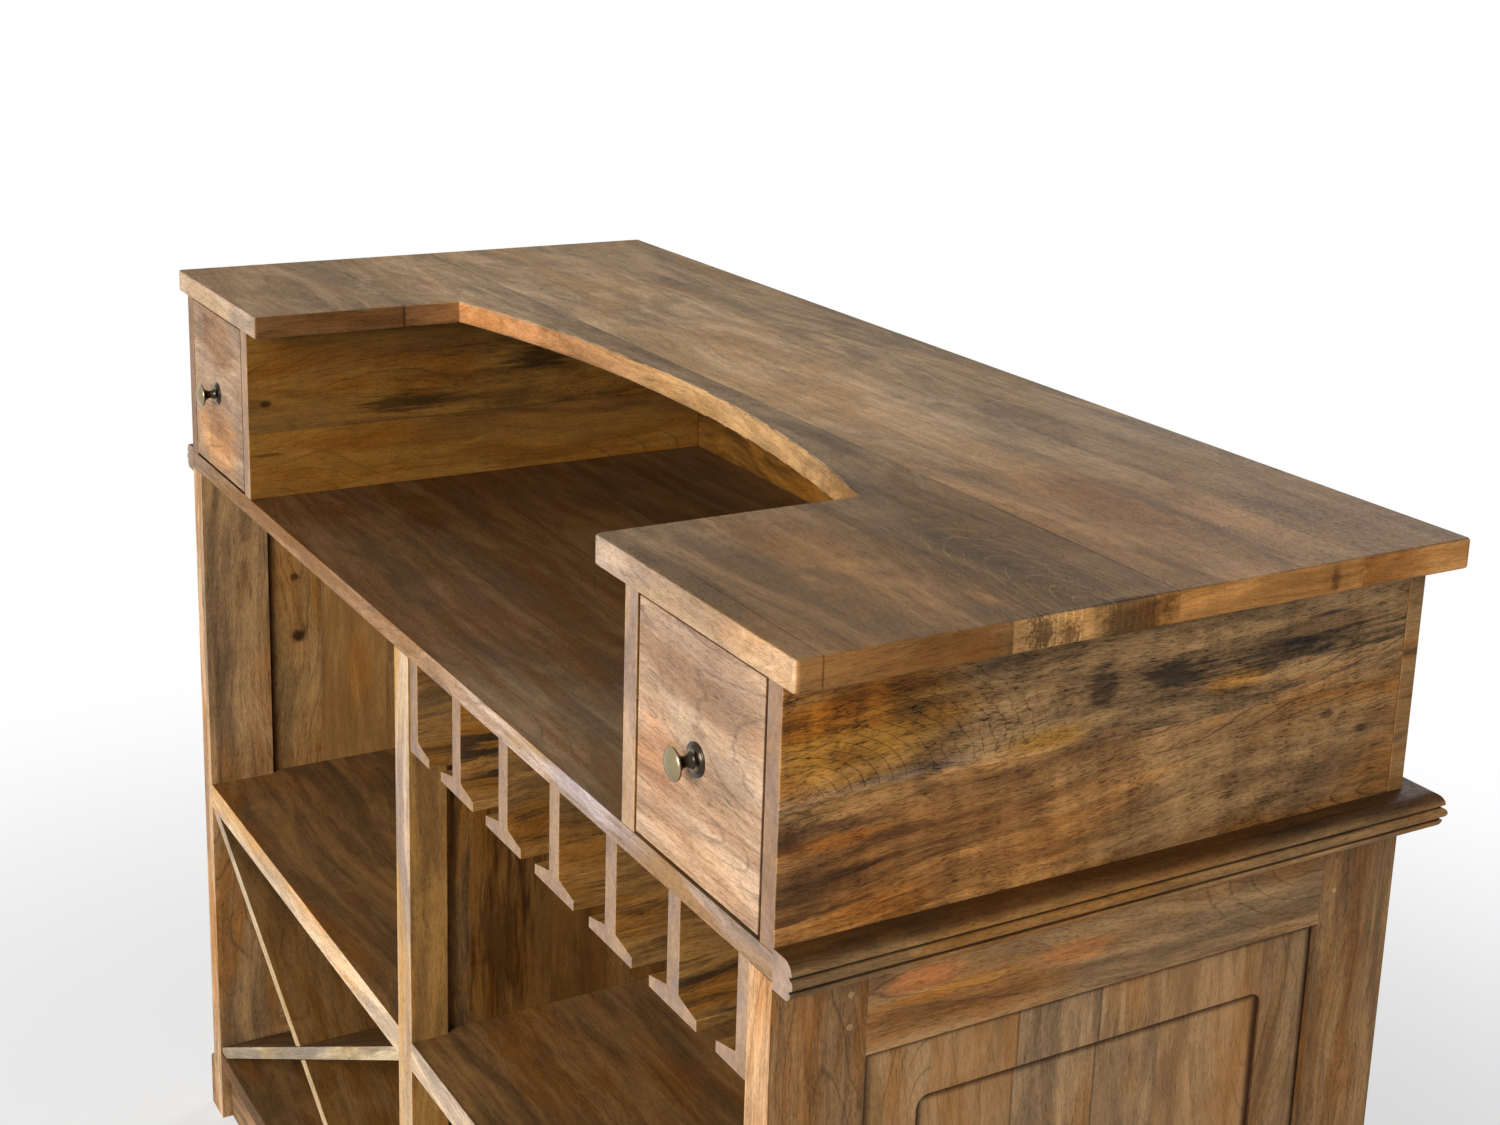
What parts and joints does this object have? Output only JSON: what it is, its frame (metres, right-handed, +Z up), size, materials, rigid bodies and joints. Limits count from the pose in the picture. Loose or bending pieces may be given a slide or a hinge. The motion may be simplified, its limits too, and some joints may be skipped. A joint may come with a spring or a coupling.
{
  "type": "bar cabinet",
  "caption": "Free-standing solid-wood home bar: slab top with a curved bite, small end drawers, moulded counter, stemware rail rack and a crossed bottle rack below.",
  "frame": {"origin": "on the floor, at the middle of the whole object's footprint", "axes": "+X along the bar to the end with the stemware rack, +Y towards the guests, +Z up; the server stands on the -Y side"},
  "size_m": [1.378, 0.613, 1.067],
  "materials": {
    "top_slab_wood": "matt oiled, glued boards with grain along the bar",
    "counter_wood": "matt oiled, dark",
    "moulding_wood": "matt oiled",
    "upper_case_wood": "matt oiled, amber with dark streaks",
    "drawer_front_wood": "matt oiled, pinkish tan",
    "drawer_box_wood": "bare planed",
    "panel_wood": "matt oiled, upright boards",
    "frame_wood": "matt oiled",
    "peg_wood": "matt oiled end grain",
    "rack_and_shelf_wood": "matt oiled",
    "antique_brass": "darkened, rubbed bright on the face"
  },
  "bodies": {
    "cabinet": {"base_rail_front": "frame_wood", "counter_board": "counter_wood", "cross_board_falling": "rack_and_shelf_wood", "cross_board_rising": "rack_and_shelf_wood", "divider_panel": "panel_wood", "divider_post": "frame_wood", "end_bottom_rail_left": "frame_wood", "end_bottom_rail_right": "frame_wood", "end_front_stile_left": "frame_wood", "end_front_stile_right": "frame_wood", "end_panel_left": "panel_wood", "end_panel_right": "panel_wood", "end_rear_stile_left": "frame_wood", "end_rear_stile_right": "frame_wood", "end_top_rail_left": "frame_wood", "end_top_rail_right": "frame_wood", "floor_board": "rack_and_shelf_wood", "frame_pegs": "peg_wood", "guest_bottom_rail": "frame_wood", "guest_muntin": "frame_wood", "guest_panel_left": "panel_wood", "guest_panel_right": "panel_wood", "guest_stile_left": "frame_wood", "guest_stile_right": "frame_wood", "guest_top_rail": "frame_wood", "inner_side_left": "upper_case_wood", "inner_side_right": "upper_case_wood", "moulding_guest": "moulding_wood", "moulding_left": "moulding_wood", "moulding_right": "moulding_wood", "shelf_left": "rack_and_shelf_wood", "shelf_right": "rack_and_shelf_wood", "skirting_guest": "moulding_wood", "skirting_left": "moulding_wood", "skirting_right": "moulding_wood", "stem_rail_1": "rack_and_shelf_wood", "stem_rail_2": "rack_and_shelf_wood", "stem_rail_3": "rack_and_shelf_wood", "stem_rail_4": "rack_and_shelf_wood", "stem_rail_5": "rack_and_shelf_wood", "stem_rail_6": "rack_and_shelf_wood", "stem_rail_7": "rack_and_shelf_wood", "top_slab": "top_slab_wood", "upper_back": "upper_case_wood", "upper_end_left": "upper_case_wood", "upper_end_right": "upper_case_wood"},
    "drawer_left": {"drawer_back_left": "drawer_box_wood", "drawer_bottom_left": "drawer_box_wood", "drawer_front_left": "drawer_front_wood", "drawer_inner_side_left": "drawer_box_wood", "drawer_outer_side_left": "drawer_box_wood", "knob_left": "antique_brass", "knob_rosette_left": "antique_brass"},
    "drawer_right": {"drawer_back_right": "drawer_box_wood", "drawer_bottom_right": "drawer_box_wood", "drawer_front_right": "drawer_front_wood", "drawer_inner_side_right": "drawer_box_wood", "drawer_outer_side_right": "drawer_box_wood", "knob_right": "antique_brass", "knob_rosette_right": "antique_brass"}
  },
  "joints": [
    {"name": "drawer_left_slide", "type": "slide", "parent": "cabinet", "child": "drawer_left", "axis": [0, -1, 0], "range_m": [0, 0.3]},
    {"name": "drawer_right_slide", "type": "slide", "parent": "cabinet", "child": "drawer_right", "axis": [0, -1, 0], "range_m": [0, 0.3]}
  ]
}
